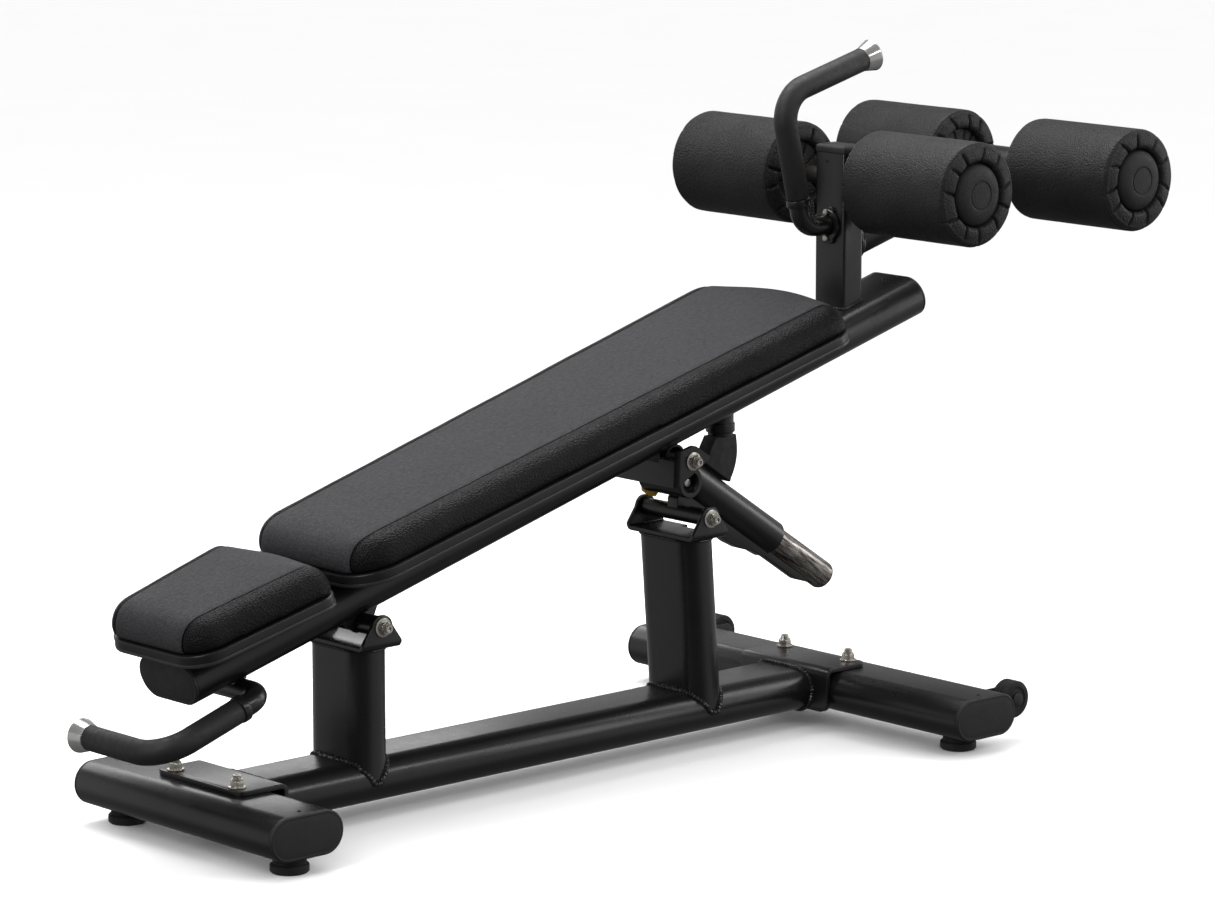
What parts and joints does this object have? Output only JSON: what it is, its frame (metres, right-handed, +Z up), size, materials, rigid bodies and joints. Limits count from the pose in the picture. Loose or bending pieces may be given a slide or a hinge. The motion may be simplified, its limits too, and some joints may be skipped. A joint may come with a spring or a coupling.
{
  "type": "decline sit up bench",
  "caption": "Padded decline bench on a low tube frame, with a telescopic slope strut, foam leg rollers and two hand grips.",
  "frame": {"origin": "middle of the bench's footprint, on the floor under its feet", "axes": "+X along the bench towards the leg rollers, +Y to the left of someone facing +X, +Z up"},
  "size_m": [1.7418, 0.69, 0.9874],
  "materials": {
    "frame_black": "satin black powder coat",
    "cap_plastic": "matte black",
    "foot_rubber": "matte black",
    "nickel": "nickel plated",
    "chrome": "polished",
    "dark_chrome": "dark chrome with light scratches",
    "grip_rubber": "fine matte",
    "leatherette": "black grained leatherette",
    "board_black": "satin black",
    "yellow_plastic": "semi-gloss",
    "spring_steel": "bare"
  },
  "bodies": {
    "base": {"front_cross_tube": "frame_black", "rear_cross_tube": "frame_black", "base_spine": "frame_black", "front_saddle": "frame_black", "rear_saddle": "frame_black", "front_post": "frame_black", "rear_post": "frame_black", "front_clevis": "frame_black", "rear_clevis": "frame_black", "beam_hinge_bolt": "nickel", "strut_hinge_bolt": "nickel", "saddle_bolt_1": "nickel", "saddle_bolt_2": "nickel", "saddle_bolt_3": "nickel", "saddle_bolt_4": "nickel", "base_cap_1": "cap_plastic", "base_cap_2": "cap_plastic", "base_cap_3": "cap_plastic", "base_cap_4": "cap_plastic", "foot_1": "foot_rubber", "foot_2": "foot_rubber", "foot_3": "foot_rubber", "foot_4": "foot_rubber", "wheel_bracket_left": "frame_black", "wheel_bracket_right": "frame_black"},
    "bench": {"beam_tube": "frame_black", "beam_cap_low": "cap_plastic", "beam_cap_high": "cap_plastic", "beam_hinge_barrel": "frame_black", "strut_bracket": "frame_black", "strut_pin_bolt": "nickel", "head_board": "board_black", "head_pad": "leatherette", "back_board": "board_black", "back_pad": "leatherette", "roller_post": "frame_black", "roller_post_cap": "cap_plastic", "roller_arm": "frame_black", "front_axle": "dark_chrome", "rear_axle": "dark_chrome", "upper_handle_tube": "frame_black", "upper_handle_grip": "grip_rubber", "upper_handle_end": "chrome", "lower_handle_tube": "frame_black", "lower_handle_grip": "grip_rubber", "lower_handle_end": "chrome", "buffer_stem": "frame_black", "rest_buffer": "foot_rubber"},
    "sleeve": {"strut_sleeve": "frame_black", "latch_spring": "spring_steel"},
    "strut": {"strut_tube": "dark_chrome", "strut_tube_plug": "cap_plastic"},
    "latch": {"latch_pin": "nickel", "latch_knob": "yellow_plastic"},
    "roller_fl": {"front_roller_left": "leatherette"},
    "roller_fr": {"front_roller_right": "leatherette"},
    "roller_rl": {"rear_roller_left": "leatherette"},
    "roller_rr": {"rear_roller_right": "leatherette"},
    "wheel_l": {"wheel_left": "foot_rubber"},
    "wheel_r": {"wheel_right": "foot_rubber"}
  },
  "joints": [
    {"name": "incline", "type": "hinge", "parent": "base", "child": "bench", "pos_m": [-0.46671, 0, 0.2705], "axis": [0, -1, 0], "range_deg": [0, 10]},
    {"name": "strut_swing", "type": "hinge", "parent": "base", "child": "sleeve", "pos_m": [0.13629, 0, 0.3395], "axis": [0, 1, 0], "range_deg": [0, 23]},
    {"name": "strut_slide", "type": "slide", "parent": "sleeve", "child": "strut", "axis": [-0.8339, 0, 0.5519], "range_m": [0, 0.114]},
    {"name": "latch_pull", "type": "slide", "parent": "sleeve", "child": "latch", "axis": [0, 1, 0], "range_m": [0, 0.008], "stiffness_N_per_m": 800, "springref_m": -0.005, "deforming": ["latch_spring"]},
    {"name": "roller_fl_spin", "type": "hinge", "parent": "bench", "child": "roller_fl", "pos_m": [0.45589, 0.1765, 0.7914], "axis": [0, 1, 0], "continuous": true},
    {"name": "roller_fr_spin", "type": "hinge", "parent": "bench", "child": "roller_fr", "pos_m": [0.45589, -0.1765, 0.7914], "axis": [0, 1, 0], "continuous": true},
    {"name": "roller_rl_spin", "type": "hinge", "parent": "bench", "child": "roller_rl", "pos_m": [0.79599, 0.1765, 0.7837], "axis": [0, 1, 0], "continuous": true},
    {"name": "roller_rr_spin", "type": "hinge", "parent": "bench", "child": "roller_rr", "pos_m": [0.79599, -0.1765, 0.7837], "axis": [0, 1, 0], "continuous": true},
    {"name": "wheel_l_spin", "type": "hinge", "parent": "base", "child": "wheel_l", "pos_m": [0.50729, 0.305, 0.062], "axis": [0, 1, 0], "continuous": true},
    {"name": "wheel_r_spin", "type": "hinge", "parent": "base", "child": "wheel_r", "pos_m": [0.50729, -0.305, 0.062], "axis": [0, 1, 0], "continuous": true}
  ],
  "couplings": [
    {"joint": "strut_swing", "follows": "incline", "ratio": 2.28},
    {"joint": "strut_slide", "follows": "incline", "m_per_rad": 0.646}
  ]
}
